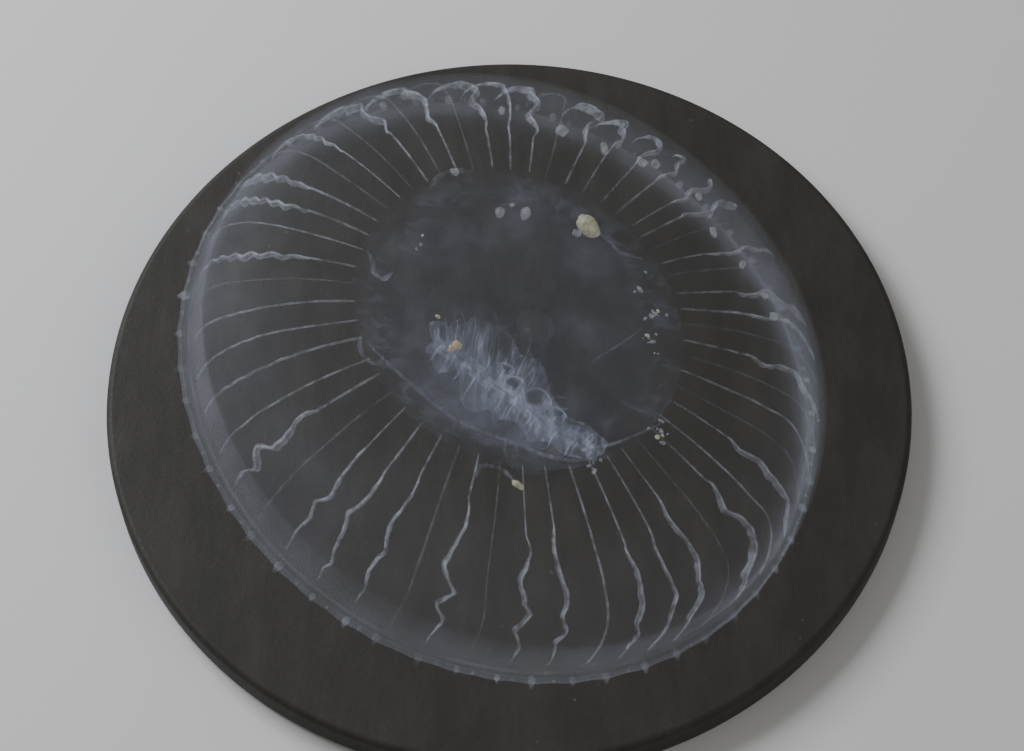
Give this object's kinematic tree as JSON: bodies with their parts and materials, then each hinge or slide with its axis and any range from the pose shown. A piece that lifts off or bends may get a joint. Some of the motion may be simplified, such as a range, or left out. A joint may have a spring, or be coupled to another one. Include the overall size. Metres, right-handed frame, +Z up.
{
  "type": "crystal jellyfish model",
  "caption": "Life-size crystal jelly with a clear domed bell, radial canals, round stomach and frilled lips, leaning on a slate base with a clear rod.",
  "frame": {"origin": "centre of the stand base's underside", "axes": "+Z up; +X to the right and +Y away from the viewer who looks down on the bell from in front"},
  "size_m": [0.132, 0.1318, 0.0596],
  "materials": {
    "bell_jelly": "clear, faintly milky, wet gloss",
    "rim_jelly": "milky, wet gloss",
    "gonad": "milky white, wet",
    "stomach_film": "thin grey-blue film, wet",
    "lip_frill": "bluish white, finely folded, wet",
    "speck": "pale yellow, wet",
    "slate": "honed dark slate",
    "clear_rod": "polished clear acrylic"
  },
  "bodies": {
    "root": {"bell_crown": "bell_jelly", "bell_side_1": "bell_jelly", "bell_side_2": "bell_jelly", "bell_side_3": "bell_jelly", "bell_side_4": "bell_jelly", "bell_side_5": "bell_jelly", "bell_side_6": "bell_jelly", "rim_1": "rim_jelly", "rim_2": "rim_jelly", "rim_3": "rim_jelly", "rim_4": "rim_jelly", "rim_5": "rim_jelly", "rim_6": "rim_jelly", "rim_7": "rim_jelly", "rim_8": "rim_jelly", "rim_9": "rim_jelly", "stomach": "stomach_film", "lip_fold_1": "lip_frill", "lip_fold_2": "lip_frill", "lip_fold_3": "lip_frill", "stand_base": "slate", "stand_rod": "clear_rod"}
  },
  "joints": []
}
